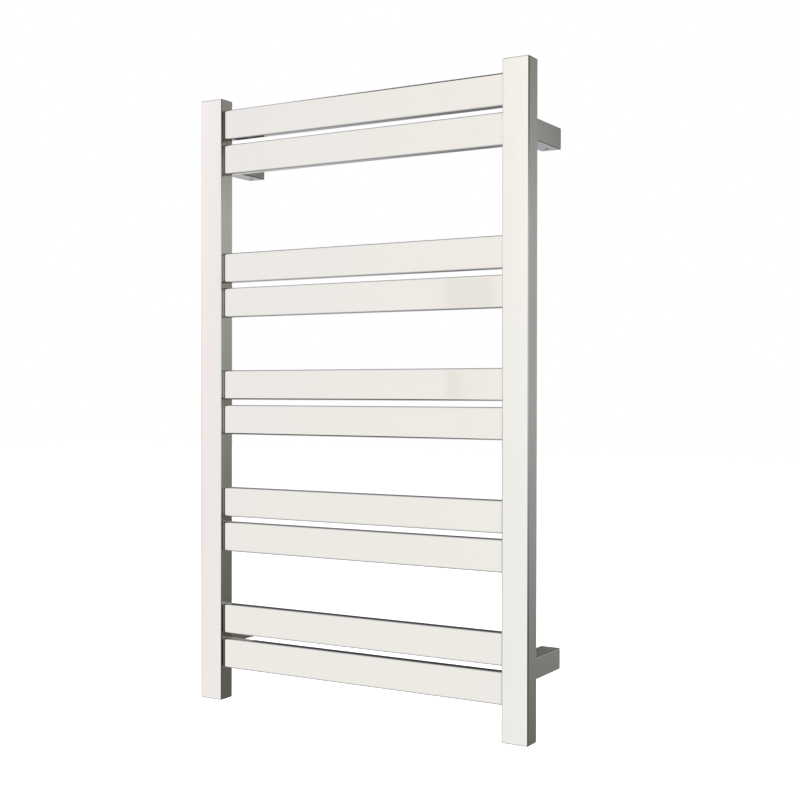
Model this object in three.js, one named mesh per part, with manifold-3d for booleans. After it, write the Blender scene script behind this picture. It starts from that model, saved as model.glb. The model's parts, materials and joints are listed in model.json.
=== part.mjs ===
// Ladder towel warmer in polished stainless tube: two upright posts, ten flat
// horizontal bars in five pairs, and four square stand-off brackets that slide
// over bosses screwed to the wall. A silicone heating cable runs through every
// bar in turn and is fed through the lower left bracket.
//
// Millimetres. +X right, +Z up, the front faces -Y and the wall is the plane
// Y = 0. The origin is on the wall, midway between the four fixings.
import * as THREE from 'three';
import { mergeVertices } from 'three/addons/utils/BufferGeometryUtils.js';
import Module from 'manifold-3d';

const wasm = await Module();
wasm.setup();

// ---------------------------------------------------------------- sizes
const WIDTH = 500;            // over the outer faces of the posts
const HEIGHT = 828;           // of the posts
const FRONT = -105;           // front face of the posts, from the wall
const POST_W = 36;            // post section across the front
const POST_D = 25;            // post section front to back
const POST_WALL = 1.5;
const POST_R = 2;             // outer corner radius
const BAR_H = 40.2;           // flat tube section
const BAR_D = 15;
const BAR_WALL = 1.2;
const BAR_R = 2.5;
const BAR_SETBACK = 5;        // bar front behind post front
const GAP = 0.3;              // between touching pieces
const FIX_Z = 88;             // lower fixing above the foot of the posts
const FIX_PITCH = 657;        // between lower and upper fixing
// upper edges of the bars above the foot of the posts, top bar first
const BAR_TOPS = [812.3, 764.6, 615.5, 567.8, 454.5, 406.8, 293.5, 245.8, 132.5, 84.8];

const SLEEVE = 27;            // square stand-off section
const SLEEVE_WALL = 2;
const SLEEVE_FLOOR = 2.5;
const SLEEVE_R = 1.5;
const SLEEVE_BACK = -0.4;     // rear edge, just clear of the wall
const BOSS = SLEEVE - 2 * SLEEVE_WALL - 2 * GAP;
const BOSS_LEN = 28;
const BOSS_HOLE_R = 2.75;
const BOSS_SINK_R = 5;
const GROOVE_W = 6.2;         // keyway under each boss for the grub screw
const GROOVE_DEEP = 2.5;
const GRUB_Y = -14;

const M5_R = 2.5;
const CLEAR_R = M5_R + GAP;   // hole around an M5 thread
const SCREW_LEN = 11;
const HEAD_R = 4.25;
const HEAD_H = 5;
const WASHER_R = 4.5;
const WASHER_T = 1;
const NUT_AF = 8;
const NUT_H = 4;

const CABLE_R = 2;
const CABLE_BEND = 14;
const PASS_R = 4.5;           // cable hole in the post wall
const LEAD_R = 2;
const LEAD_OFF = 6.6;         // lead off the bracket's centre, in X and Z
const EARTH_R = 1.1;

// ---------------------------------------------------------------- derived
const Z0 = -(FIX_Z + FIX_PITCH / 2);           // foot of the posts
const ZTOP = Z0 + HEIGHT;
const POST_X = WIDTH / 2 - POST_W / 2;         // post centre line
const POST_BACK = FRONT + POST_D;
const POST_Y = FRONT + POST_D / 2;
const BAR_Y = FRONT + BAR_SETBACK + BAR_D / 2;
const BAR_LEN = WIDTH - 2 * POST_W - 2 * GAP;
const BAR_Z = BAR_TOPS.map((t) => Z0 + t - BAR_H / 2);
const FIX = [
  ['top_left', -POST_X, FIX_PITCH / 2],
  ['top_right', POST_X, FIX_PITCH / 2],
  ['bottom_left', -POST_X, -FIX_PITCH / 2],
  ['bottom_right', POST_X, -FIX_PITCH / 2],
];
const SLEEVE_FRONT = POST_BACK + GAP;
const FLOOR_IN = SLEEVE_FRONT + SLEEVE_FLOOR;  // inner face of the sleeve floor
const BACK_IN = POST_BACK - POST_WALL;         // inner face of the post's back wall

// ---------------------------------------------------------------- materials
const mat = (color, roughness, metalness) =>
  new THREE.MeshStandardMaterial({ color, roughness, metalness });
const POLISHED = mat(0xe9e9e6, 0.08, 1);
const CAST = mat(0x9c9fa2, 0.45, 1);
const ZINC = mat(0xb9bcbf, 0.32, 1);
const BLACK_OXIDE = mat(0x35373a, 0.4, 1);
const SILICONE = mat(0xb6522f, 0.6, 0);
const LEAD = mat(0xe4e2dc, 0.55, 0);
const GREEN = mat(0x5f9a36, 0.5, 0);
const BRASS = mat(0xc9a24e, 0.3, 1);
const MOULDED = mat(0x2b2c2e, 0.55, 0);

// ---------------------------------------------------------------- helpers
function solid(geometry) {
  const g = geometry.clone();
  for (const name of Object.keys(g.attributes)) if (name !== 'position') g.deleteAttribute(name);
  const m = mergeVertices(g, 1e-4);
  return new wasm.Manifold(new wasm.Mesh({
    numProp: 3,
    vertProperties: Float32Array.from(m.attributes.position.array),
    triVerts: Uint32Array.from(m.index.array),
  }));
}

function geometryOf(manifold) {
  const { numProp, vertProperties, triVerts } = manifold.getMesh();
  const n = vertProperties.length / numProp;
  const xyz = new Float32Array(n * 3);
  for (let i = 0; i < n; i++) for (let k = 0; k < 3; k++) xyz[3 * i + k] = vertProperties[numProp * i + k];
  const g = new THREE.BufferGeometry();
  g.setAttribute('position', new THREE.BufferAttribute(xyz, 3));
  g.setIndex(Array.from(triVerts));
  g.computeVertexNormals();
  return g;
}

function cut(geometry, ...tools) {
  let m = solid(geometry);
  for (const t of tools) m = m.subtract(solid(t));
  return geometryOf(m);
}

// outline of a rectangle with rounded corners, drawn on a Shape or a Path
function roundedRect(path, w, h, r, steps) {
  const c = [[w / 2 - r, h / 2 - r, 0], [-w / 2 + r, h / 2 - r, 1], [-w / 2 + r, -h / 2 + r, 2], [w / 2 - r, -h / 2 + r, 3]];
  const pts = [];
  for (const [cx, cy, q] of c) {
    for (let i = 0; i <= steps; i++) {
      const a = (q + i / steps) * Math.PI / 2;
      pts.push(new THREE.Vector2(cx + r * Math.cos(a), cy + r * Math.sin(a)));
    }
  }
  path.setFromPoints(pts);
  return path;
}

const prism = (shape, length) =>
  new THREE.ExtrudeGeometry(shape, { depth: length, bevelEnabled: false, curveSegments: 8 });

function tubeSection(w, h, r, wall, steps) {
  const shape = roundedRect(new THREE.Shape(), w, h, r, steps);
  shape.holes.push(roundedRect(new THREE.Path(), w - 2 * wall, h - 2 * wall, Math.max(r - wall, 0.4), 2));
  return shape;
}

// turned from +Z to +X, and from +Z to +Y
const alongX = (g) => g.rotateY(Math.PI / 2);
const alongY = (g) => g.rotateX(-Math.PI / 2);

const rodX = (r, len, x, y, z, seg = 16) => new THREE.CylinderGeometry(r, r, len, seg).rotateZ(Math.PI / 2).translate(x, y, z);
const rodY = (r, len, x, y, z, seg = 20) => new THREE.CylinderGeometry(r, r, len, seg).translate(x, y, z);
const rodZ = (r, len, x, y, z, seg = 20) => new THREE.CylinderGeometry(r, r, len, seg).rotateX(Math.PI / 2).translate(x, y, z);
const block = (w, d, h, x, y, z) => new THREE.BoxGeometry(w, d, h).translate(x, y, z);

// A route made of straight runs and circular bends, stepped only in the bends.
class Route extends THREE.Curve {
  constructor(corners, bend, bendSteps) {
    super();
    this.stops = [];
    const dir = (a, b) => b.clone().sub(a).normalize();
    const first = dir(corners[0], corners[1]);
    this.stops.push([corners[0].clone(), first]);
    for (let i = 1; i < corners.length - 1; i++) {
      const a = dir(corners[i - 1], corners[i]);
      const b = dir(corners[i], corners[i + 1]);
      const r = Array.isArray(bend) ? bend[i - 1] : bend;
      const angle = a.angleTo(b);
      const back = r * Math.tan(angle / 2);
      const start = corners[i].clone().addScaledVector(a, -back);
      const side = b.clone().addScaledVector(a, -a.dot(b)).normalize();
      const centre = start.clone().addScaledVector(side, r);
      for (let k = 0; k <= bendSteps; k++) {
        const t = angle * k / bendSteps;
        const p = centre.clone().addScaledVector(side, -r * Math.cos(t)).addScaledVector(a, r * Math.sin(t));
        const tangent = a.clone().multiplyScalar(Math.cos(t)).addScaledVector(side, Math.sin(t)).normalize();
        this.stops.push([p, tangent]);
      }
    }
    const n = corners.length;
    this.stops.push([corners[n - 1].clone(), dir(corners[n - 2], corners[n - 1])]);
    this.steps = this.stops.length - 1;
  }
  at(u) { return this.stops[Math.min(this.steps, Math.max(0, Math.round(u * this.steps)))]; }
  getPoint(u, target = new THREE.Vector3()) { return target.copy(this.at(u)[0]); }
  getPointAt(u, target = new THREE.Vector3()) { return target.copy(this.at(u)[0]); }
  getTangent(u, target = new THREE.Vector3()) { return target.copy(this.at(u)[1]); }
  getTangentAt(u, target = new THREE.Vector3()) { return target.copy(this.at(u)[1]); }
}

function cable(corners, bend, radius, sides, bendSteps = 5) {
  const route = new Route(corners.map((p) => new THREE.Vector3(...p)), bend, bendSteps);
  const shape = new THREE.Shape();
  const pts = [];
  for (let i = 0; i < sides; i++) {
    const a = 2 * Math.PI * i / sides;
    pts.push(new THREE.Vector2(radius * Math.cos(a), radius * Math.sin(a)));
  }
  shape.setFromPoints(pts);
  return new THREE.ExtrudeGeometry(shape, { steps: route.steps, extrudePath: route, bevelEnabled: false });
}

const rack = new THREE.Group();       // everything that lifts off together
const wallSide = new THREE.Group();   // stays on the wall
function add(parent, name, geometry, material, x = 0, y = 0, z = 0) {
  const mesh = new THREE.Mesh(geometry, material);
  mesh.name = name;
  mesh.position.set(x, y, z);
  parent.add(mesh);
  return mesh;
}

// ---------------------------------------------------------------- posts
// Rectangular tube, open at both ends; a round cable hole faces each bar and
// a plain hole in the back wall takes each bracket screw.
for (const [side, sx] of [['left', -1], ['right', 1]]) {
  const tube = prism(tubeSection(POST_W, POST_D, POST_R, POST_WALL, 5), HEIGHT).translate(0, 0, Z0);
  const tools = BAR_Z.map((z) =>
    rodX(PASS_R, 6, -sx * (POST_W / 2 - POST_WALL / 2), BAR_Y - POST_Y, z, 16));
  for (const z of [-FIX_PITCH / 2, FIX_PITCH / 2]) {
    tools.push(rodY(CLEAR_R, 6, 0, POST_D / 2 - POST_WALL / 2, z));
  }
  if (sx < 0) {
    tools.push(rodY(3.5, 6, -LEAD_OFF, POST_D / 2 - POST_WALL / 2, -FIX_PITCH / 2 - LEAD_OFF));
  }
  add(rack, `${side}_post`, cut(tube, ...tools), POLISHED, sx * POST_X, POST_Y, 0);

  // plates closing the ends of the tube, flush with them
  const plate = 2;
  for (const [end, z] of [['top', ZTOP - plate], ['bottom', Z0]]) {
    const outline = roundedRect(new THREE.Shape(),
      POST_W - 2 * POST_WALL - 2 * GAP, POST_D - 2 * POST_WALL - 2 * GAP, 0.8, 3);
    add(rack, `end_plate_${end}_${side}`, prism(outline, plate), POLISHED, sx * POST_X, POST_Y, z);
  }
}

// ---------------------------------------------------------------- bars
// Flat tube, open at the ends where it butts against the posts.
BAR_Z.forEach((z, i) => {
  const g = alongX(prism(tubeSection(BAR_H, BAR_D, BAR_R, BAR_WALL, 5), BAR_LEN)).translate(-BAR_LEN / 2, 0, 0);
  add(rack, `bar_${String(i + 1).padStart(2, '0')}`, g, POLISHED, 0, BAR_Y, z);
});

// ---------------------------------------------------------------- brackets
for (const [where, x, z] of FIX) {
  const fed = where === 'bottom_left';   // the bracket that brings the lead in

  // square cup, closed against the post and open to the wall
  const len = SLEEVE_BACK - SLEEVE_FRONT;
  const outer = alongY(prism(roundedRect(new THREE.Shape(), SLEEVE, SLEEVE, SLEEVE_R, 4), len))
    .translate(0, SLEEVE_FRONT, 0);
  const inside = SLEEVE - 2 * SLEEVE_WALL;
  const hollow = alongY(prism(roundedRect(new THREE.Shape(), inside, inside, 0.8, 2), len))
    .translate(0, FLOOR_IN, 0);
  const cuts = [
    hollow,
    rodY(CLEAR_R, 10, 0, SLEEVE_FRONT, 0),
    rodZ(CLEAR_R, 6, 0, GRUB_Y, -SLEEVE / 2),
  ];
  if (fed) cuts.push(rodY(3.5, 10, -LEAD_OFF, SLEEVE_FRONT, -LEAD_OFF));
  add(rack, `bracket_${where}`, cut(outer, ...cuts), POLISHED, x, 0, z);

  // cap screw, washer and weld nut that hold the cup to the post
  const tagT = fed ? 0.8 + GAP : 0;
  const washerY = FLOOR_IN + GAP + tagT;
  const washer = new THREE.LatheGeometry([
    new THREE.Vector2(CLEAR_R, 0), new THREE.Vector2(WASHER_R, 0),
    new THREE.Vector2(WASHER_R, WASHER_T), new THREE.Vector2(CLEAR_R, WASHER_T), new THREE.Vector2(CLEAR_R, 0),
  ], 20);
  add(rack, `washer_${where}`, washer, ZINC, x, washerY, z);

  const headY = washerY + WASHER_T + GAP;
  const screw = new THREE.LatheGeometry([
    new THREE.Vector2(0, -SCREW_LEN), new THREE.Vector2(M5_R - 0.5, -SCREW_LEN),
    new THREE.Vector2(M5_R, -SCREW_LEN + 0.5), new THREE.Vector2(M5_R, 0),
    new THREE.Vector2(HEAD_R, 0), new THREE.Vector2(HEAD_R, HEAD_H - 0.5),
    new THREE.Vector2(HEAD_R - 0.5, HEAD_H), new THREE.Vector2(0, HEAD_H),
  ], 20);
  const socket = new THREE.CylinderGeometry(2.31, 2.31, 6, 6).translate(0, HEAD_H, 0);
  add(rack, `bracket_screw_${where}`, cut(screw, socket), BLACK_OXIDE, x, headY, z);

  const nut = new THREE.CylinderGeometry(NUT_AF / Math.sqrt(3), NUT_AF / Math.sqrt(3), NUT_H, 6)
    .rotateY(Math.PI / 2);
  add(rack, `weld_nut_${where}`, cut(nut, rodY(CLEAR_R, NUT_H * 2, 0, 0, 0)), ZINC,
    x, BACK_IN - GAP - NUT_H / 2, z);

  // boss on the wall: countersunk wall-screw hole, keyway under it for the
  // grub screw, and on the fed bracket two corner channels for the leads
  const bossSolid = alongY(prism(roundedRect(new THREE.Shape(), BOSS, BOSS, 1.2, 3), BOSS_LEN))
    .translate(0, -BOSS_LEN, 0);
  const grooveStart = -BOSS_LEN - 2;
  const grooveEnd = GRUB_Y + 4;
  const bossCuts = [
    rodY(BOSS_HOLE_R, BOSS_LEN * 3, 0, 0, 0),
    new THREE.CylinderGeometry(BOSS_HOLE_R - 0.5, BOSS_SINK_R + 0.25, 3, 20).translate(0, -BOSS_LEN + 1.25, 0),
    // open to the front, so the screw slides along it as the rack is hung
    block(GROOVE_W, grooveEnd - grooveStart, GROOVE_DEEP * 2, 0, (grooveStart + grooveEnd) / 2, -BOSS / 2),
  ];
  if (fed) {
    for (const s of [-1, 1]) {
      bossCuts.push(block(8, BOSS_LEN * 3, 8, s * (4.1 + 4), 0, -(4.1 + 4)));
    }
  }
  add(wallSide, `wall_boss_${where}`, cut(bossSolid, ...bossCuts), CAST, x, 0, z);

  // grub screw up through the underside of the cup, cup point under the boss
  const grubTop = -BOSS / 2 + GROOVE_DEEP - GAP;
  const grubLen = 4.2;
  const grub = new THREE.LatheGeometry([
    new THREE.Vector2(0, -grubLen), new THREE.Vector2(M5_R - 0.3, -grubLen),
    new THREE.Vector2(M5_R, -grubLen + 0.3), new THREE.Vector2(M5_R, -0.6),
    new THREE.Vector2(M5_R - 0.6, 0), new THREE.Vector2(0, 0),
  ], 20).rotateX(Math.PI / 2);
  const key = new THREE.CylinderGeometry(1.44, 1.44, 4.4, 6).rotateX(Math.PI / 2).translate(0, 0, -grubLen);
  add(rack, `grub_screw_${where}`, cut(grub, key), BLACK_OXIDE, x, GRUB_Y, z + grubTop);
}

// ---------------------------------------------------------------- heating cable
// One length from the joint in the left post, through the lowest bar first and
// then every bar upwards, turning in the posts, to a sealed end in the left post.
const RUN_X = POST_X;                 // where the cable runs up inside a post
const JOINT_X = -POST_X + 5;          // joint side of the left post
const route = [[JOINT_X, BAR_Y, BAR_Z[9] - 24]];
let atX = JOINT_X;
let sideX = 1;
for (let i = 9; i >= 0; i--) {
  route.push([atX, BAR_Y, BAR_Z[i]]);
  atX = sideX * RUN_X;
  route.push([atX, BAR_Y, BAR_Z[i]]);
  sideX = -sideX;
}
const END_Z = BAR_Z[0] - 34;
route.push([atX, BAR_Y, END_Z]);
const bends = route.slice(1, -1).map((_, i) => (i === 0 ? 11 : CABLE_BEND));
add(rack, 'heating_cable', cable(route, bends, CABLE_R, 8), SILICONE);

// moulded cap on the far end
const capBore = CABLE_R + GAP + 0.1;
add(rack, 'cable_end_cap', new THREE.LatheGeometry([
  new THREE.Vector2(0, -6), new THREE.Vector2(3, -6), new THREE.Vector2(3.6, -5.4),
  new THREE.Vector2(3.6, 12), new THREE.Vector2(capBore, 12), new THREE.Vector2(capBore, -GAP), new THREE.Vector2(0, -GAP),
], 16).rotateX(Math.PI / 2), MOULDED, atX, BAR_Y, END_Z);

// joint between heating cable and cold lead, with a blind bore at each end
const JOINT_L = 30;
const jointTop = route[0][2] + 6;
function inline(w, d, len, bore) {
  const body = prism(roundedRect(new THREE.Shape(), w, d, 2, 3), len).translate(0, 0, -len);
  return cut(body, rodZ(bore, 13, 0, 0, 0, 16), rodZ(bore, 13, 0, 0, -len, 16));
}
add(rack, 'cable_joint', inline(9, 9, JOINT_L, capBore), MOULDED, JOINT_X, BAR_Y, jointTop);

// thermal cut-out in the lead, beside the joint
const CUT_X = -POST_X - 9;
const CUT_L = 26;
const cutTop = -FIX_PITCH / 2 - 26;
add(rack, 'thermal_cutout', inline(8, 12, CUT_L, capBore), MOULDED, CUT_X, BAR_Y, cutTop);

const jointFoot = jointTop - JOINT_L;
const cutFoot = cutTop - CUT_L;
const LOW_Z = Z0 + 8;
add(rack, 'link_lead', cable([
  [JOINT_X, BAR_Y, jointFoot + 6],
  [JOINT_X, BAR_Y, LOW_Z],
  [CUT_X, BAR_Y, LOW_Z],
  [CUT_X, BAR_Y, cutFoot + 6],
], 6.5, LEAD_R, 8, 5), LEAD);

// lead from the cut-out, up and back through the fed bracket to the wall
const [, fedX, fedZ] = FIX[2];
const leadX = fedX - LEAD_OFF;
const leadZ = fedZ - LEAD_OFF;
add(rack, 'supply_tail', cable([
  [CUT_X, BAR_Y, cutTop - 6],
  [CUT_X, BAR_Y, cutTop + 6],
  [leadX, BAR_Y, leadZ],
  [leadX, SLEEVE_BACK - 0.2, leadZ],
], [8, 5], LEAD_R, 8, 5), LEAD);

// rubber bush where the lead leaves the post
const bushIn = BACK_IN - GAP;
add(rack, 'lead_bush', new THREE.LatheGeometry([
  new THREE.Vector2(capBore, -1.2), new THREE.Vector2(3.8, -1.2), new THREE.Vector2(3.8, 0),
  new THREE.Vector2(3.2, 0), new THREE.Vector2(3.2, 7), new THREE.Vector2(capBore, 7), new THREE.Vector2(capBore, -1.2),
], 16), MOULDED, leadX, bushIn, leadZ);

// earth: ring tag under the fed bracket's screw, and its wire to the wall
const tagShape = new THREE.Shape();
{
  const pts = [];
  const R = 4.6;
  const half = Math.asin(1.8 / R);
  const dirA = -Math.PI / 4;          // toward the lower right corner of the cup
  const n = 18;
  for (let i = 0; i <= n; i++) {
    const a = dirA + half + (2 * Math.PI - 2 * half) * i / n;
    pts.push(new THREE.Vector2(R * Math.cos(a), R * Math.sin(a)));
  }
  const reach = LEAD_OFF * Math.SQRT2 + 1.6;
  const ux = Math.cos(dirA);
  const uy = Math.sin(dirA);
  pts.push(new THREE.Vector2(ux * reach + uy * 1.8, uy * reach - ux * 1.8));
  pts.push(new THREE.Vector2(ux * reach - uy * 1.8, uy * reach + ux * 1.8));
  tagShape.setFromPoints(pts);
}
const tagHole = new THREE.Path();
tagHole.absarc(0, 0, CLEAR_R, 0, 2 * Math.PI, true);
tagShape.holes.push(tagHole);
// drawn in X and Z, so the sheet is turned to lie against the cup's floor
const tag = new THREE.ExtrudeGeometry(tagShape, { depth: 0.8, bevelEnabled: false, curveSegments: 10 })
  .rotateX(Math.PI / 2);
add(rack, 'earth_tag', tag, BRASS, fedX, FLOOR_IN + GAP + 0.8, fedZ);
add(rack, 'earth_lead', cable([
  [fedX + LEAD_OFF, FLOOR_IN + GAP + 0.8 + GAP, fedZ - LEAD_OFF],
  [fedX + LEAD_OFF, SLEEVE_BACK - 0.2, fedZ - LEAD_OFF],
], 5, EARTH_R, 8, 1), GREEN);

const group = new THREE.Group();
group.add(rack, wallSide);
export default group;
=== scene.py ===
"""Polished ladder towel warmer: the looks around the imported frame."""
import json
import math

import bmesh
import bpy
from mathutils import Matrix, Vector


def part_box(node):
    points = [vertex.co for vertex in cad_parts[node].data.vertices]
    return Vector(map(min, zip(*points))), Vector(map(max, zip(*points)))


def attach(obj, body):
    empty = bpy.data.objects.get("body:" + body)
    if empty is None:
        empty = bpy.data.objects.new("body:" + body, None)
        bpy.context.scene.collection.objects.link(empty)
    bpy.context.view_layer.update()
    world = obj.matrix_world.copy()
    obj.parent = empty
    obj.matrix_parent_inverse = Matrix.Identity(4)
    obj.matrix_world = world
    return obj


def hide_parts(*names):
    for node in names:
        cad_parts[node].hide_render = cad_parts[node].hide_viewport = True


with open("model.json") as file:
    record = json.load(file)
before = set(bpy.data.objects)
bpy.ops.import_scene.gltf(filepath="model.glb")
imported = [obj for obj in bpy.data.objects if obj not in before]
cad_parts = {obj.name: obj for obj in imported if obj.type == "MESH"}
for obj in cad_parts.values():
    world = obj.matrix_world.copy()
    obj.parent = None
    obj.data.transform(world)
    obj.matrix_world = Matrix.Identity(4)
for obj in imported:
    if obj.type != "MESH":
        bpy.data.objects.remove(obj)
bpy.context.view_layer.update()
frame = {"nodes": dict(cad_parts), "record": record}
nodes = frame["nodes"]
scene = bpy.context.scene
MM = 0.001

# ------------------------------------------------------------------ sizes, read from the frame


def mm_box(node):
    lo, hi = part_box(node)
    return [v * 1000 for v in lo], [v * 1000 for v in hi]


BAR_NAMES = [f"bar_{i:02d}" for i in range(1, 11)]
CORNERS = ("top_left", "top_right", "bottom_left", "bottom_right")
(px0, py0, pz0), (px1, py1, pz1) = mm_box("right_post")
POST_W, POST_D = px1 - px0, py1 - py0
POST_CX, POST_CY = (px0 + px1) / 2, (py0 + py1) / 2
INNER_X = px0  # inner side face of the right post
POST_R, BAR_R, SLEEVE_R = 2.0, 2.5, 1.5

# ------------------------------------------------------------------ camera
YAW, PITCH, ROLL, FOCAL = 0.53455, -0.00607, 0.00130, 1303.31
EYE = Vector((0.91061, -1.52232, 0.00847))
fwd = Vector((-math.sin(YAW) * math.cos(PITCH), math.cos(YAW) * math.cos(PITCH), math.sin(PITCH)))
rgt = Vector((math.cos(YAW), math.sin(YAW), 0.0))
upv = rgt.cross(fwd)
rgt2 = math.cos(ROLL) * rgt + math.sin(ROLL) * upv
upv2 = -math.sin(ROLL) * rgt + math.cos(ROLL) * upv
cam_data = bpy.data.cameras.new("camera")
cam_data.sensor_width = 36.0
cam_data.lens = FOCAL * 36.0 / 800.0
cam_data.clip_start, cam_data.clip_end = 0.05, 100.0
cam = bpy.data.objects.new("camera", cam_data)
scene.collection.objects.link(cam)
m = cam.matrix_world.to_3x3()
m.col[0], m.col[1], m.col[2] = rgt2, upv2, -fwd
cam.matrix_world = m.to_4x4()
cam.location = EYE
scene.camera = cam
scene.view_settings.view_transform = "Standard"
scene.view_settings.look = "None"
scene.view_settings.exposure = 0.0
scene.view_settings.gamma = 1.0

# ------------------------------------------------------------------ mesh tools


def outline(w, h, r, n):
    """Corner points of a rounded rectangle, anticlockwise, the same count for any size."""
    r = max(r, 0.02)
    pts = []
    for q, (sx, sy) in enumerate(((1, 1), (-1, 1), (-1, -1), (1, -1))):
        cx, cy = sx * (w / 2 - r), sy * (h / 2 - r)
        for i in range(n + 1):
            a = (q + i / n) * math.pi / 2
            pts.append((cx + r * math.cos(a), cy + r * math.sin(a)))
    return pts


def new_object(name, bm, smooth=True, sharp_deg=32.0):
    bmesh.ops.remove_doubles(bm, verts=bm.verts, dist=1e-7)
    bmesh.ops.recalc_face_normals(bm, faces=bm.faces)
    for f in bm.faces:
        f.smooth = smooth
    for e in bm.edges:
        if len(e.link_faces) == 2:
            e.smooth = e.calc_face_angle(0.0) < math.radians(sharp_deg)
    me = bpy.data.meshes.new(name)
    bm.to_mesh(me)
    bm.free()
    o = bpy.data.objects.new(name, me)
    scene.collection.objects.link(o)
    return o


def weighted(o):
    w = o.modifiers.new("weighted", "WEIGHTED_NORMAL")
    w.mode, w.weight, w.keep_sharp = "FACE_AREA", 80, True
    return o


def loft(name, rings, cap_start=False, cap_end=False, loop=False, place=None):
    """Skin over rings of points in millimetres. place turns (u, v, t) into (x, y, z)."""
    bm = bmesh.new()
    rows = []
    for ring in rings:
        rows.append([bm.verts.new([c * MM for c in (place(p) if place else p)]) for p in ring])
    pairs = list(zip(rows, rows[1:])) + ([(rows[-1], rows[0])] if loop else [])
    n = len(rows[0])
    for a, b in pairs:
        for i in range(n):
            j = (i + 1) % n
            bm.faces.new((a[i], a[j], b[j], b[i]))
    if cap_start:
        bm.faces.new(rows[0][::-1])
    if cap_end:
        bm.faces.new(rows[-1])
    return new_object(name, bm)


def lip(r, steps, outwards=True):
    """(inset, drop) pairs round a rounded end, from the side to the end face."""
    return [(r * (1 - math.cos(k / steps * math.pi / 2)), r * math.sin(k / steps * math.pi / 2)) for k in range(steps + 1)]


def lathe(bm, profile, seg, centre, axis):
    """A turned body on an axis through centre. profile is (radius, along) in millimetres, on the axis at both ends."""
    rows = []
    for r, t in profile:
        if r < 1e-6:
            rows.append([bm.verts.new(turned(0, 0, t, centre, axis))])
        else:
            rows.append([
                bm.verts.new(turned(r * math.cos(2 * math.pi * i / seg), r * math.sin(2 * math.pi * i / seg), t, centre, axis))
                for i in range(seg)
            ])
    for a, b in zip(rows, rows[1:]):
        for i in range(seg):
            j = (i + 1) % seg
            if len(a) == 1:
                bm.faces.new((a[0], b[i], b[j]))
            elif len(b) == 1:
                bm.faces.new((a[i], a[j], b[0]))
            else:
                bm.faces.new((a[i], a[j], b[j], b[i]))


def turned(u, v, t, c, axis):
    if axis == "X":
        p = (c[0] + t, c[1] + u, c[2] + v)
    elif axis == "Y":
        p = (c[0] + v, c[1] + t, c[2] + u)
    else:
        p = (c[0] + u, c[1] + v, c[2] + t)
    return [x * MM for x in p]


def cutter(profile, seg, centre, axis):
    bm = bmesh.new()
    lathe(bm, profile, seg, centre, axis)
    return new_object("cutter", bm)


def box_cutter(lo, hi):
    bm = bmesh.new()
    bmesh.ops.create_cube(bm, size=1.0)
    for v in bm.verts:
        v.co = Vector([(lo[k] + hi[k]) / 2 + v.co[k] * (hi[k] - lo[k]) for k in range(3)]) * MM
    return new_object("cutter", bm)


def carve(o, cutters, sharp_deg=32.0):
    """Cuts the cutters out of o for good and gives it clean normals."""
    for c in cutters:
        b = o.modifiers.new("cut", "BOOLEAN")
        b.operation, b.solver, b.object = "DIFFERENCE", "EXACT", c
    dg = bpy.context.evaluated_depsgraph_get()
    me = bpy.data.meshes.new_from_object(o.evaluated_get(dg))
    name = o.name
    o.modifiers.clear()
    old = o.data
    bm = bmesh.new()
    bm.from_mesh(me)
    bmesh.ops.remove_doubles(bm, verts=bm.verts, dist=2e-7)
    for f in bm.faces:
        f.smooth = True
    for e in bm.edges:
        e.smooth = len(e.link_faces) == 2 and e.calc_face_angle(0.0) < math.radians(sharp_deg)
    bm.to_mesh(me)
    bm.free()
    o.data = me
    me.name = name
    bpy.data.meshes.remove(old)
    for c in cutters:
        d = c.data
        bpy.data.objects.remove(c)
        bpy.data.meshes.remove(d)
    return o


# ------------------------------------------------------------------ materials


class Tree:
    """Short names for building a node tree."""

    def __init__(self, tree):
        self.t = tree
        tree.nodes.clear()
        self.x = 0

    def node(self, kind, **values):
        n = self.t.nodes.new(kind)
        self.x += 180
        n.location = (self.x, 0)
        for k, v in values.items():
            setattr(n, k, v)
        return n

    def put(self, socket, value):
        if isinstance(value, bpy.types.NodeSocket):
            self.t.links.new(value, socket)
        elif value is not None:
            socket.default_value = value

    def math(self, op, a, b=None, c=None, clamp=False):
        n = self.node("ShaderNodeMath", operation=op, use_clamp=clamp)
        for s, v in zip(n.inputs, (a, b, c)):
            self.put(s, v)
        return n.outputs[0]

    def scaled(self, vector, factors):
        n = self.node("ShaderNodeVectorMath", operation="MULTIPLY")
        self.put(n.inputs[0], vector)
        self.put(n.inputs[1], factors)
        return n.outputs[0]

    def noise(self, vector, scale, detail=3.0, rough=0.5, distortion=0.0):
        n = self.node("ShaderNodeTexNoise")
        self.put(n.inputs["Vector"], vector)
        for k, v in (("Scale", scale), ("Detail", detail), ("Roughness", rough), ("Distortion", distortion)):
            self.put(n.inputs[k], v)
        return n.outputs["Fac"]

    def split(self, vector):
        n = self.node("ShaderNodeSeparateXYZ")
        self.put(n.inputs[0], vector)
        return n.outputs

    def remap(self, value, a, b, c, d, smooth=False):
        n = self.node("ShaderNodeMapRange", interpolation_type="SMOOTHSTEP" if smooth else "LINEAR")
        for k, v in zip(("Value", "From Min", "From Max", "To Min", "To Max"), (value, a, b, c, d)):
            self.put(n.inputs[k], v)
        return n.outputs["Result"]

    def mix(self, fac, a, b):
        n = self.node("ShaderNodeMix", data_type="RGBA")
        self.put(n.inputs["Factor"], fac)
        self.put(n.inputs["A"], a)
        self.put(n.inputs["B"], b)
        return n.outputs["Result"]

    def bump(self, height, strength, distance, normal=None):
        n = self.node("ShaderNodeBump")
        self.put(n.inputs["Height"], height)
        n.inputs["Strength"].default_value = strength
        n.inputs["Distance"].default_value = distance
        if normal is not None:
            self.put(n.inputs["Normal"], normal)
        return n.outputs["Normal"]


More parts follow.
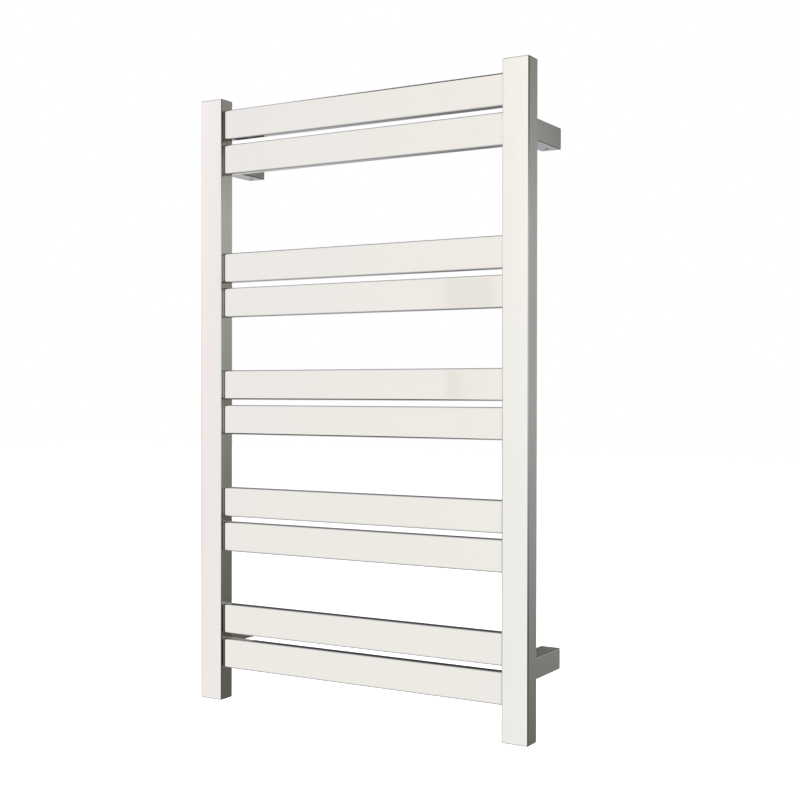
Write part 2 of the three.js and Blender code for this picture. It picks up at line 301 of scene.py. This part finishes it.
def material(name, viewport):
    mat = bpy.data.materials.new(name)
    mat.use_nodes = True
    mat.diffuse_color = (*viewport, 1.0)
    t = Tree(mat.node_tree)
    out = t.node("ShaderNodeOutputMaterial")
    bsdf = t.node("ShaderNodeBsdfPrincipled")
    t.put(out.inputs["Surface"], bsdf.outputs[0])
    pos = t.node("ShaderNodeTexCoord").outputs["Object"]
    return mat, t, bsdf, pos


STEEL = (0.93, 0.925, 0.915)
PAIRS = [(f"bar_{k:02d}", f"bar_{k + 1:02d}") for k in (1, 3, 5, 7, 9)]


def painted_gap_shade_posts(t, pos, colour):
    """Painted shade, tinted straw and grey like weld heat colour, on the posts' inner faces in the narrow gaps between
    paired bars.
    """
    x, y, z = t.split(pos)
    gaps = t.node("ShaderNodeValToRGB")
    z0, z1 = -0.42, 0.42
    t.put(gaps.inputs[0], t.remap(z, z0, z1, 0.0, 1.0))
    stops = [(0.0, 0.0)]
    for upper, lower in PAIRS:
        top, bottom = mm_box(lower)[1][2] * MM, mm_box(upper)[0][2] * MM
        lo, hi = sorted((top, bottom))
        stops += [((v - z0) / (z1 - z0), k) for v, k in ((lo - 0.006, 0.0), (lo - 0.001, 1.0), (hi + 0.001, 1.0), (hi + 0.006, 0.0))]
    stops.sort()
    cr = gaps.color_ramp
    while len(cr.elements) < len(stops):
        cr.elements.new(0.5)
    for el, (at, k) in zip(cr.elements, stops):
        el.position = at
    for el, (at, k) in zip(cr.elements, stops):
        el.color = (k, k, k, 1.0)
    inner = t.remap(t.math("ABSOLUTE", x), 0.2152, 0.2146, 0.0, 1.0)
    cloud = t.remap(t.noise(pos, 170.0, 3.0, 0.6), 0.25, 0.75, 0.75, 1.0)
    # painted shade: only on the inner faces, inside the gaps between paired bars
    mask = t.math("MULTIPLY", t.math("MULTIPLY", inner, gaps.outputs[0]), cloud)
    return t.mix(mask, colour, t.scaled(colour, (0.66, 0.61, 0.58)))


def weld_heat_and_painted_shade_bars(t, pos, colour):
    """Weld heat colour and painted shade, much fainter than on the posts, on the last few millimetres of each bar where
    it meets a post; strongest where the top bar starts, where it is a painted golden reflection.
    """
    x, y, z = t.split(pos)
    ends = t.remap(t.math("ABSOLUTE", x), 0.2065, 0.2125, 0.0, 1.0, True)
    # painted golden reflection where the top bar starts, over the fainter heat colour and painted shade at every end
    first = t.math("MULTIPLY", t.remap(x, -0.2, -0.206, 0.0, 1.0), t.remap(z, 0.352, 0.357, 0.0, 1.0))
    cloud = t.remap(t.noise(pos, 210.0, 3.0, 0.6), 0.3, 0.7, 0.45, 1.0)
    amount = t.math("MULTIPLY", t.math("MULTIPLY", ends, cloud), t.math("MULTIPLY_ADD", first, 0.7, 0.22))
    return t.mix(amount, colour, t.scaled(colour, (0.78, 0.76, 0.68)))


def painted_shade_to_the_wall(t, pos, colour):
    """Painted shade: the upper brackets darken toward the wall, the left one more than the right, in a faintly mottled
    way.
    """
    x, y, z = t.split(pos)
    upper = t.remap(z, -0.05, 0.05, 0.0, 1.0)
    depth = t.remap(y, -0.08, -0.005, 0.1, 0.62)
    left = t.remap(x, 0.05, -0.05, 0.0, 0.55)
    shade_breakup = t.remap(t.noise(pos, 60.0, 4.0, 0.6), 0.3, 0.7, 0.85, 1.0)
    # painted shade, deeper toward the wall and on the left bracket
    amount = t.math("MULTIPLY", t.math("MULTIPLY", t.math("ADD", depth, left, clamp=True), upper), shade_breakup)
    return t.mix(amount, colour, t.scaled(colour, (0.56, 0.56, 0.56)))


def polished(name, along, seed, painted_shade_layer):
    """Mirror-polished stainless tube: fine polishing lines along it, faint waves of the drawn wall, light wipe marks."""
    mat, t, b, pos = material(name, STEEL)
    shift = t.node("ShaderNodeVectorMath", operation="ADD")
    t.put(shift.inputs[0], pos)
    shift.inputs[1].default_value = (seed * 1.7, seed * 0.9, seed * 2.3)
    p = shift.outputs[0]
    fine = [1.0, 1.0, 1.0]
    fine["XYZ".index(along)] = 0.012
    lines = t.noise(t.scaled(p, fine), 1900.0, 2.0, 0.6)
    long_wave = [1.0, 1.0, 1.0]
    long_wave["XYZ".index(along)] = 0.35
    waves = t.noise(t.scaled(p, long_wave), 34.0, 1.5, 0.4)
    wipe = t.noise(t.scaled(p, [1.0, 1.0, 0.6]), 16.0, 4.0, 0.62, 0.8)
    marks = t.remap(wipe, 0.52, 0.74, 0.0, 1.0, True)
    rough = t.math("MULTIPLY_ADD", lines, 0.028, 0.022)
    rough = t.math("MULTIPLY_ADD", marks, 0.035, rough)
    t.put(b.inputs["Roughness"], rough)
    clean = (*STEEL, 1.0)
    dull = (STEEL[0] * 0.965, STEEL[1] * 0.965, STEEL[2] * 0.96, 1.0)
    grain = t.math("MULTIPLY_ADD", t.remap(lines, 0.3, 0.75, 0.0, 1.0), 0.35, t.math("MULTIPLY", marks, 0.3), clamp=True)
    # the last argument paints shade into the colour (on the bars also weld heat colour and a painted golden reflection)
    t.put(b.inputs["Base Color"], painted_shade_layer(t, pos, t.mix(grain, clean, dull)))
    b.inputs["Metallic"].default_value = 1.0
    n1 = t.bump(waves, 1.0, 0.00006)
    n2 = t.bump(lines, 1.0, 0.0000012, n1)
    t.put(b.inputs["Normal"], n2)
    return mat


def cast_metal():
    """Die-cast alloy of the wall bosses: fine pebbled skin, with darker and lighter patches at random."""
    mat, t, b, pos = material("die_cast_alloy", (0.6, 0.61, 0.62))
    skin = t.noise(pos, 1500.0, 4.0, 0.6)
    patch = t.noise(pos, 120.0, 3.0, 0.5)
    t.put(b.inputs["Base Color"], t.mix(t.remap(patch, 0.35, 0.7, 0.0, 1.0), (0.52, 0.53, 0.55, 1), (0.66, 0.67, 0.68, 1)))
    t.put(b.inputs["Roughness"], t.remap(skin, 0.2, 0.8, 0.36, 0.55))
    b.inputs["Metallic"].default_value = 1.0
    t.put(b.inputs["Normal"], t.bump(skin, 1.0, 0.00003))
    return mat


def turned_steel(name, dark, light, r0, r1):
    """Small steel fasteners: turned rings and a mottled plating."""
    mat, t, b, pos = material(name, light)
    mottle = t.noise(pos, 420.0, 3.0, 0.55)
    ring = t.noise(t.scaled(pos, (1.0, 0.15, 1.0)), 3000.0, 1.0, 0.5)
    t.put(b.inputs["Base Color"], t.mix(t.remap(mottle, 0.3, 0.7, 0.0, 1.0), (*dark, 1), (*light, 1)))
    t.put(b.inputs["Roughness"], t.remap(ring, 0.25, 0.75, r0, r1))
    b.inputs["Metallic"].default_value = 1.0
    t.put(b.inputs["Normal"], t.bump(ring, 1.0, 0.000004))
    return mat


def sheathing(name, dark, light, rough0, rough1):
    """Silicone or rubber: dull, with faint dust and a fine moulded skin."""
    mat, t, b, pos = material(name, light)
    dust = t.noise(pos, 260.0, 5.0, 0.6)
    skin = t.noise(pos, 2600.0, 2.0, 0.5)
    t.put(b.inputs["Base Color"], t.mix(t.remap(dust, 0.3, 0.72, 0.0, 1.0), (*dark, 1), (*light, 1)))
    t.put(b.inputs["Roughness"], t.remap(dust, 0.3, 0.7, rough0, rough1))
    t.put(b.inputs["Normal"], t.bump(skin, 1.0, 0.00001))
    return mat


# each tube's last argument paints shade into its colour; on the bars also weld heat colour and a painted golden
# reflection
POSTS = polished("polished_steel_posts", "Z", 0.31, painted_gap_shade_posts)
BARS = polished("polished_steel_bars", "X", 1.13, weld_heat_and_painted_shade_bars)
SLEEVES = polished("polished_steel_brackets", "Y", 2.57, painted_shade_to_the_wall)
CAST = cast_metal()
ZINC = turned_steel("bright_zinc", (0.55, 0.56, 0.57), (0.74, 0.75, 0.76), 0.22, 0.36)
BLACK = turned_steel("black_oxide", (0.035, 0.036, 0.04), (0.075, 0.076, 0.08), 0.3, 0.46)
BRASS = turned_steel("tag_brass", (0.62, 0.43, 0.17), (0.78, 0.58, 0.27), 0.22, 0.36)
SILICONE = sheathing("silicone_red", (0.42, 0.1, 0.045), (0.56, 0.16, 0.075), 0.5, 0.68)
WHITE_LEAD = sheathing("silicone_white", (0.66, 0.65, 0.61), (0.82, 0.81, 0.77), 0.46, 0.62)
EARTH = sheathing("earth_green", (0.12, 0.34, 0.05), (0.24, 0.5, 0.09), 0.42, 0.56)
RUBBER = sheathing("moulded_rubber_black", (0.018, 0.018, 0.02), (0.04, 0.04, 0.043), 0.5, 0.66)
MOULDED = sheathing("moulded_plastic_black", (0.02, 0.02, 0.022), (0.036, 0.036, 0.039), 0.4, 0.52)

SLOT_MATERIAL = {
    "polished_steel": POSTS,
    "cast_alloy": CAST,
    "black_steel": BLACK,
    "zinc_steel": ZINC,
    "silicone_sheath": SILICONE,
    "lead_sheath": WHITE_LEAD,
    "earth_sheath": EARTH,
    "moulded_rubber": RUBBER,
    "moulded_plastic": MOULDED,
    "tag_brass": BRASS,
}
for row in frame["record"]["subparts"]:
    o = nodes[row["node"]]
    o.data.materials.clear()
    o.data.materials.append(SLOT_MATERIAL[row["material_slot"]])


def finish_piece(o, mat, body, slot, *stands_for):
    o.data.materials.clear()
    o.data.materials.append(mat)
    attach(o, body)
    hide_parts(*stands_for)
    return o


# ------------------------------------------------------------------ posts
ARC = 8
END_R = 2.0
WALL = 1.5


def post(side, sx):
    cx = sx * POST_CX
    rows = []

    def ring(inset, z, r=None):
        rr = max(POST_R - inset, 0.35) if r is None else r
        rows.append([(cx + u, POST_CY + v, z) for u, v in outline(POST_W - 2 * inset, POST_D - 2 * inset, rr, ARC)])

    steps = lip(END_R, 5)
    for inset, rise in reversed(steps):
        ring(inset, pz0 + END_R - rise)
    for inset, rise in steps:
        ring(inset, pz1 - END_R + rise)
    ring(WALL, pz1, 0.5)
    ring(WALL, pz0, 0.5)
    o = weighted(loft(f"{side}_post_tube", rows, loop=True))
    finish_piece(o, POSTS, "rack", "polished_steel", f"{side}_post")
    for end, z, s in (("top", pz1, 1), ("bottom", pz0, -1)):
        w, d = POST_W - 2 * WALL - 0.08, POST_D - 2 * WALL - 0.08
        rows2 = []
        for inset, dz in ((0.0, -2.0), (0.0, -0.16), (0.03, -0.07), (0.11, -0.01), (0.22, 0.0)):
            zz = z + s * dz
            rows2.append([(cx + u, POST_CY + v, zz) for u, v in outline(w - 2 * inset, d - 2 * inset, 0.48 - inset, ARC)])
        plate = weighted(loft(f"{side}_post_{end}_plate", rows2, cap_start=True, cap_end=True))
        finish_piece(plate, POSTS, "rack", "polished_steel", f"end_plate_{end}_{side}")


post("left", -1)
post("right", 1)

# ------------------------------------------------------------------ bars, with a small fillet of weld at each end
FILLET = 0.5
for name in BAR_NAMES:
    (x0, y0, z0), (x1, y1, z1) = mm_box(name)
    cy, cz, d, h = (y0 + y1) / 2, (z0 + z1) / 2, y1 - y0, z1 - z0
    ends = []
    for k in range(7):
        a = k / 6 * math.pi / 2
        ends.append((FILLET * (1 - math.cos(a)), FILLET * math.sin(a)))  # (grow, along)
    rows = []
    reach = INNER_X - 0.01

    def bar_ring(x, grow):
        rows.append([(x, cy + u, cz + v) for u, v in outline(d + 2 * grow, h + 2 * grow, BAR_R + grow, ARC)])

    for grow, along in reversed(ends):
        bar_ring(-reach + FILLET - along, grow)
    for grow, along in ends:
        bar_ring(reach - FILLET + along, grow)
    o = weighted(loft(f"{name}_tube", rows, cap_start=True, cap_end=True))
    finish_piece(o, BARS, "rack", "polished_steel", name)

# ------------------------------------------------------------------ brackets, bosses and grub screws
SLEEVE_WALL, FLOOR = 2.0, 2.5
GRUB_Y = -14.0
for where in CORNERS:
    fed = where == "bottom_left"
    (x0, y0, z0), (x1, y1, z1) = mm_box(f"bracket_{where}")
    cx, cz, s = (x0 + x1) / 2, (z0 + z1) / 2, x1 - x0
    rows = []

    def sleeve_ring(size, y, r):
        rows.append([(cx + u, y, cz + v) for u, v in outline(size, size, r, ARC)])

    start = y0 - 0.28  # against the post
    for inset, rise in reversed(lip(0.35, 4)):
        sleeve_ring(s - 2 * inset, start + 0.35 - rise, SLEEVE_R - inset)
    for inset, rise in lip(0.5, 5):
        sleeve_ring(s - 2 * inset, y1 - 0.5 + rise, SLEEVE_R - inset)
    inside = s - 2 * SLEEVE_WALL
    for inset, rise in reversed(lip(0.3, 3)):
        sleeve_ring(inside + 2 * inset, y1 - 0.3 + rise, 0.8 + inset)
    sleeve_ring(inside, y0 + FLOOR, 0.8)
    o = loft(f"bracket_{where}_sleeve", rows, cap_start=True, cap_end=True)
    hole = cutter([(0, -20), (3.05, -20), (3.05, -13.3), (2.8, -13.05), (2.8, -9.6), (0, -9.6)], 48, (cx, GRUB_Y, cz), "Z")
    carve(o, [hole])
    weighted(o)
    finish_piece(o, SLEEVES, "rack", "polished_steel", f"bracket_{where}")

    # boss
    (bx0, by0, bz0), (bx1, by1, bz1) = mm_box(f"wall_boss_{where}")
    bs, bl = bx1 - bx0, by1 - by0
    rows = []

    def boss_ring(size, y, r):
        rows.append([(cx + u, y, cz + v) for u, v in outline(size, size, r, ARC)])

    boss_ring(bs - 1.2, by0, 0.7)
    boss_ring(bs - 0.5, by0 + 0.12, 1.0)
    boss_ring(bs, by0 + 0.6, 1.2)
    boss_ring(bs, by1 - 0.2, 1.2)
    boss_ring(bs - 0.4, by1, 1.0)
    o = loft(f"wall_boss_{where}_block", rows, cap_start=True, cap_end=True)
    cuts = [
        cutter([(0, -bl - 3), (6.0, -bl - 3), (6.0, -bl - 0.9), (5.1, -bl), (2.75, -bl + 2.6), (2.75, 3), (0, 3)], 48, (cx, 0, cz), "Y"),
        box_cutter((cx - 3.1, -bl - 4, cz - bs), (cx + 3.1, -10, cz - bs / 2 + 2.5)),
    ]
    if fed:
        for sg in (-1, 1):
            a, b = sorted((cx + sg * 4.1, cx + sg * (bs / 2 + 3)))
            cuts.append(box_cutter((a, -bl - 4, cz - bs), (b, 4, cz - 4.1)))
    carve(o, cuts)
    weighted(o)
    finish_piece(o, CAST, "wall_bosses", "cast_alloy", f"wall_boss_{where}")

    # grub screw: rolled thread, cup point up, hexagon socket below
    (gx0, gy0, gz0), (gx1, gy1, gz1) = mm_box(f"grub_screw_{where}")
    r = (gx1 - gx0) / 2
    profile = [(0.0, gz1 - 0.55), (r - 1.15, gz1 - 0.02), (r - 0.7, gz1)]
    z = gz1 - 0.45
    while z > gz0 + 0.85:
        profile += [(r, z), (r, z - 0.12), (r - 0.38, z - 0.36), (r - 0.38, z - 0.44)]
        z -= 0.68
    profile += [(r, gz0 + 0.42), (r - 0.4, gz0), (0.0, gz0)]
    bm = bmesh.new()
    lathe(bm, profile, 40, (cx, GRUB_Y, 0), "Z")
    o = new_object(f"grub_screw_{where}_thread", bm)
    hexagon = cutter([(0, -3), (1.44, -3), (1.44, 2.1), (0, 2.3)], 6, (cx, GRUB_Y, gz0), "Z")
    carve(o, [hexagon])
    weighted(o)
    finish_piece(o, BLACK, f"grub_{where}", "black_steel", f"grub_screw_{where}")

# ------------------------------------------------------------------ stage: pale floor, soft light, studio surroundings
bm = bmesh.new()
FLOOR_Z = -0.78
half = 14.0
vs = [bm.verts.new((sx * half, sy * half, FLOOR_Z)) for sx, sy in ((-1, -1), (1, -1), (1, 1), (-1, 1))]
bm.faces.new(vs)
floor = new_object("floor", bm)
fmat, ft, fb, fpos = material("floor_paper", (0.9, 0.9, 0.9))
tone = ft.noise(fpos, 3.0, 2.0, 0.5)
ft.put(fb.inputs["Base Color"], ft.mix(tone, (0.9, 0.9, 0.9, 1), (0.93, 0.93, 0.93, 1)))
fb.inputs["Roughness"].default_value = 0.9
fb.inputs["Specular IOR Level"].default_value = 0.0
fb.inputs["Emission Color"].default_value = (1, 1, 1, 1)
fb.inputs["Emission Strength"].default_value = 0.78
floor.data.materials.append(fmat)
floor.visible_glossy = False


def area(name, place, aim, size, power):
    ld = bpy.data.lights.new(name, "AREA")
    ld.shape, ld.size, ld.energy = "SQUARE", size, power
    lo = bpy.data.objects.new(name, ld)
    scene.collection.objects.link(lo)
    lo.location = place
    lo.rotation_mode = "QUATERNION"
    lo.rotation_quaternion = (Vector(aim) - Vector(place)).to_track_quat("-Z", "Y")
    lo.visible_glossy = False
    lo.visible_camera = False
    return lo


area("soft_key", (-2.4, -2.6, 2.6), (0, 0, 0), 2.4, 120)
area("soft_fill", (2.8, -1.2, 1.8), (0, 0, 0), 2.2, 50)
area("soft_back", (0.4, 2.6, 2.4), (0, 0, 0), 2.2, 45)


def lin(v):
    c = v / 255.0
    return c / 12.92 if c <= 0.04045 else ((c + 0.055) / 1.055) ** 2.4


def grey(v):
    if isinstance(v, (int, float)):
        v = (v, v, v)
    return tuple(min(lin(c), 4.0) / s for c, s in zip(v, STEEL))


# The studio that the polished faces mirror, as display values: rings of constant
# elevation, each a list of (bearing, tone). Bearing 0 is straight in front (-Y),
# 90 is to the rack's left (-X), 180 is behind it and -90 is to its right.
ROOM = {
    -90: [(-180, 130), (0, 150), (180, 130)],
    -40: [(-180, 110), (-150, 110), (-90, 90), (-45, 90), (-10, 190), (25, 222), (60, 190), (100, 140), (140, 150), (180, 110)],
    -15: [(-180, 100), (-156, (107, 106, 97)), (-141.5, (91, 88, 80)), (-120, 90), (-90, 90), (-65, 80), (-50, 75),
          (-38, 80), (-25, 110), (-14, 190), (-6, 236), (8, 238), (20, 248), (26.15, (234, 234, 232)),
          (26.35, (238, 235, 230)), (38.2, (239, 236, 230)), (38.45, (242, 236, 232)), (50, 205), (60, 158), (70, 132),
          (95, 115), (120, 110), (142, 100), (156, 85), (180, 90)],
    -10.5: [(-180, 128), (-156, (128, 129, 124)), (-141.5, (90, 88, 80)), (-120, 86), (-90, 84), (-65, 62), (-50, 56),
            (-38, 72), (-25, 125), (-14, 210), (-6, 236), (8, 238), (20, 248), (26.15, (234, 234, 232)),
            (26.35, (238, 235, 229)), (38.2, (238, 235, 229)), (38.45, (242, 235, 232)), (50, 200), (60, 152), (70, 124),
            (95, 100), (120, 130), (142, 190), (148, 168), (153, 108), (155.5, (180, 180, 184)), (180, 150)],
    -6: [(-180, 145), (-156, (144, 145, 141)), (-141.5, (104, 103, 97)), (-120, 118), (-90, 130), (-65, 125), (-50, 138),
         (-38, 165), (-25, 205), (-14, 234), (-6, 236), (8, 238), (20, 248), (26.15, (235, 235, 232)),
         (26.35, (239, 236, 229)), (38.2, (237, 234, 229)), (38.45, (243, 234, 232)), (50, 202), (60, 155), (70, 128),
         (95, 105), (120, 140), (142, 205), (148, 185), (151.6, 92), (154, 150), (180, 145)],
    0: [(-180, 150), (-156, (157, 158, 154)), (-141.5, (134, 134, 128)), (-120, 155), (-90, 168), (-65, 185), (-50, 205),
        (-38, 225), (-25, 238), (-14, 236), (-6, 236), (8, 238), (20, 249), (26.15, (239, 238, 232)),
        (26.35, (240, 236, 229)), (38.2, (237, 233, 229)), (38.45, (243, 234, 232)), (50, 226), (60, 200), (70, 172),
        (95, 145), (120, 155), (142, 185), (148, 165), (151.6, 120), (156, 150), (180, 150)],
    7.5: [(-180, 140), (-156, (156, 157, 152)), (-141.5, (163, 162, 157)), (-120, 162), (-90, 168), (-65, 185), (-50, 205),
          (-38, 225), (-25, 238), (-14, 236), (-6, 236), (8, 238), (20, 250), (26.15, (244, 241, 233)),
          (26.35, (240, 236, 229)), (38.2, (237, 233, 230)), (38.45, (245, 237, 234)), (50, 240), (70, 220), (95, 195),
          (120, 150), (142, 82), (154, 78), (156, 108), (180, 120)],
    12: [(-180, 100), (-156, (142, 140, 135)), (-141.5, (133, 130, 121)), (-120, 118), (-90, 100), (-65, 66), (-50, 62),
         (-38, 80), (-25, 140), (-14, 230), (-6, 236), (8, 238), (20, 250), (26.15, (244, 241, 233)),
         (26.35, (240, 236, 229)), (38.2, (236, 232, 229)), (38.45, (248, 241, 239)), (50, 240), (70, 224), (95, 205),
         (120, 140), (142, 56), (154, 54), (156, 108), (180, 100)],
    16: [(-180, 90), (-156, (131, 127, 120)), (-141.5, (122, 119, 110)), (-120, 100), (-90, 84), (-65, 56), (-50, 50),
         (-38, 60), (-25, 110), (-14, 215), (-6, 236), (8, 238), (20, 250), (26.15, (244, 241, 233)),
         (26.35, (240, 236, 229)), (38.2, (236, 232, 229)), (38.45, (248, 241, 241)), (50, 238), (70, 220), (95, 195),
         (120, 120), (142, 56), (156, 66), (180, 80)],
    45: [(-180, 100), (-90, 90), (-45, 90), (-10, 205), (25, 226), (60, 208), (100, 160), (140, 110), (180, 100)],
    90: [(-180, 150), (0, 185), (180, 150)],
}

world = bpy.data.worlds.new("studio")
scene.world = world
world.use_nodes = True
wt = Tree(world.node_tree)
wout = wt.node("ShaderNodeOutputWorld")
direction = wt.node("ShaderNodeTexCoord").outputs["Generated"]
sep = wt.node("ShaderNodeSeparateXYZ")
wt.put(sep.inputs[0], direction)
DX, DY, DZ = sep.outputs
bearing = wt.math("ARCTAN2", wt.math("MULTIPLY", DX, -1.0), wt.math("MULTIPLY", DY, -1.0))
turn = wt.math("MULTIPLY_ADD", bearing, 1 / (2 * math.pi), 0.5)
elev = wt.math("MULTIPLY", wt.math("ARCSINE", DZ), 180 / math.pi)
colour = None
previous = None
for e in sorted(ROOM):
    ramp = wt.node("ShaderNodeValToRGB")
    wt.put(ramp.inputs[0], turn)
    stops = sorted(ROOM[e])
    cr = ramp.color_ramp
    cr.interpolation = "LINEAR"
    while len(cr.elements) < len(stops):
        cr.elements.new(0.5)
    for el, (ang, tone_) in zip(cr.elements, stops):
        el.position = (ang + 180) / 360
    for el, (ang, tone_) in zip(cr.elements, stops):
        el.color = (*grey(tone_), 1.0)
    if colour is None:
        colour = ramp.outputs[0]
    else:
        colour = wt.mix(wt.remap(elev, previous, e, 0.0, 1.0), colour, ramp.outputs[0])
    previous = e

# two faint darker shapes that the fourth and fifth bars mirror
degrees = wt.math("MULTIPLY", bearing, 180 / math.pi)


def patch(a0, a1, soft_a, e0, e1, soft_e):
    left = wt.remap(degrees, a0 - soft_a, a0 + soft_a, 0.0, 1.0, True)
    right = wt.remap(degrees, a1 - soft_a, a1 + soft_a, 1.0, 0.0, True)
    low = wt.remap(elev, e0 - soft_e, e0 + soft_e, 0.0, 1.0, True)
    high = wt.remap(elev, e1 - soft_e, e1 + soft_e, 1.0, 0.0, True)
    return wt.math("MULTIPLY", wt.math("MULTIPLY", left, right), wt.math("MULTIPLY", low, high))


shade = wt.math("MAXIMUM", patch(26.5, 28.65, 0.2, 3.3, 5.2, 0.12), patch(27.9, 28.6, 0.2, -0.6, 1.2, 0.12))
colour = wt.mix(shade, colour, wt.scaled(colour, (0.93, 0.925, 0.92)))

room = wt.node("ShaderNodeBackground")
wt.put(room.inputs["Color"], colour)
room.inputs["Strength"].default_value = 1.0
paper = wt.node("ShaderNodeBackground")
paper.inputs["Color"].default_value = (1.0, 1.0, 1.0, 1.0)
paper.inputs["Strength"].default_value = 1.0
choose = wt.node("ShaderNodeMixShader")
wt.put(choose.inputs[0], wt.node("ShaderNodeLightPath").outputs["Is Camera Ray"])
wt.put(choose.inputs[1], room.outputs[0])
wt.put(choose.inputs[2], paper.outputs[0])
wt.put(wout.inputs["Surface"], choose.outputs[0])


def glow(name, stops, axis_lo, axis_hi):
    """A card that glows by its height, in display values from the bottom up."""
    mat = bpy.data.materials.new(name)
    mat.use_nodes = True
    t = Tree(mat.node_tree)
    out = t.node("ShaderNodeOutputMaterial")
    em = t.node("ShaderNodeEmission")
    t.put(out.inputs["Surface"], em.outputs[0])
    z = t.node("ShaderNodeSeparateXYZ")
    t.put(z.inputs[0], t.node("ShaderNodeNewGeometry").outputs["Position"])
    ramp = t.node("ShaderNodeValToRGB")
    t.put(ramp.inputs[0], t.remap(z.outputs["Z"], axis_lo, axis_hi, 0.0, 1.0))
    cr = ramp.color_ramp
    while len(cr.elements) < len(stops):
        cr.elements.new(0.5)
    for el, (h, tone_) in zip(cr.elements, stops):
        el.position = (h - axis_lo) / (axis_hi - axis_lo)
    for el, (h, tone_) in zip(cr.elements, stops):
        el.color = (*grey(tone_), 1.0)
    t.put(em.inputs["Color"], ramp.outputs[0])
    em.inputs["Strength"].default_value = 1.0
    return mat


def mirror_only(o, mat):
    o.data.materials.append(mat)
    o.visible_camera = o.visible_diffuse = o.visible_shadow = o.visible_transmission = False
    return o


def sheet(name, corners):
    bm = bmesh.new()
    bm.faces.new([bm.verts.new(c) for c in corners])
    me = bpy.data.meshes.new(name)
    bm.to_mesh(me)
    bm.free()
    o = bpy.data.objects.new(name, me)
    scene.collection.objects.link(o)
    return o


# a dark figure at the camera, which the corner between post and bar throws straight back
flat = Vector((fwd.x, fwd.y, 0)).normalized()
across = Vector((-flat.y, flat.x, 0))
foot = Vector((EYE.x, EYE.y, 0)) - 0.06 * flat
half_w = 0.36
mirror_only(
    sheet("figure_card", [foot + sg * half_w * across + Vector((0, 0, z)) for sg, z in ((-1, -1.1), (1, -1.1), (1, 1.1), (-1, 1.1))]),
    glow("figure_tone", [(-1.1, (20, 18, 15)), (-0.72, (26, 25, 21)), (-0.55, (30, 28, 24)), (-0.4, (40, 38, 33)), (-0.28, (58, 55, 50)),
                         (-0.06, (74, 72, 66)), (0.1, (76, 74, 69)), (0.36, (78, 77, 72)), (0.66, (62, 58, 52)), (0.8, (50, 46, 40)), (1.1, (42, 38, 32))], -1.1, 1.1))


def painted_reflection_cards(name, edge, z, over, under):
    """Two thin horizontal glowing cards back to back just before the bars' fronts, seen only in reflections, that paint
    a dark line and a light line along a bar's rounded edge; edge gives how deep they are along X.
    """
    back = BAR_FRONT - 0.3
    ring_ = [(x, back - d) for x, d in edge] + [(x, back) for x, d in reversed(edge)]
    for part, dz, tone_ in (("over", 0.00015, over), ("under", -0.00015, under)):
        o = sheet(f"{name}_{part}", [(x * MM, y * MM, z * MM + dz) for x, y in ring_])
        mirror_only(o, glow(f"{name}_{part}_tone", [(-1.0, tone_), (1.0, tone_)], -1.0, 1.0))


bar_box = {n: mm_box(n) for n in BAR_NAMES}
BAR_FRONT = bar_box["bar_05"][0][1]
# painted reflections: dark and light lines along the rounded edges of the fifth, sixth and first bars
painted_reflection_cards("painted_reflection_fifth", [(-213, 4.2), (-200, 6.5), (70, 6.5), (213, 1.0)], bar_box["bar_05"][0][2] - 1.0, 10, 215)
painted_reflection_cards("painted_reflection_sixth", [(-213, 4.2), (-200, 6.5), (40, 6.5), (213, 0.6)], bar_box["bar_06"][0][2] - 1.0, 10, 140)
painted_reflection_cards("painted_reflection_first", [(-105, 0.2), (100, 6.5), (195, 6.5), (213, 4.2)], bar_box["bar_01"][1][2] + 1.3, 120, 20)

# ------------------------------------------------------------------ final update
bpy.context.view_layer.update()
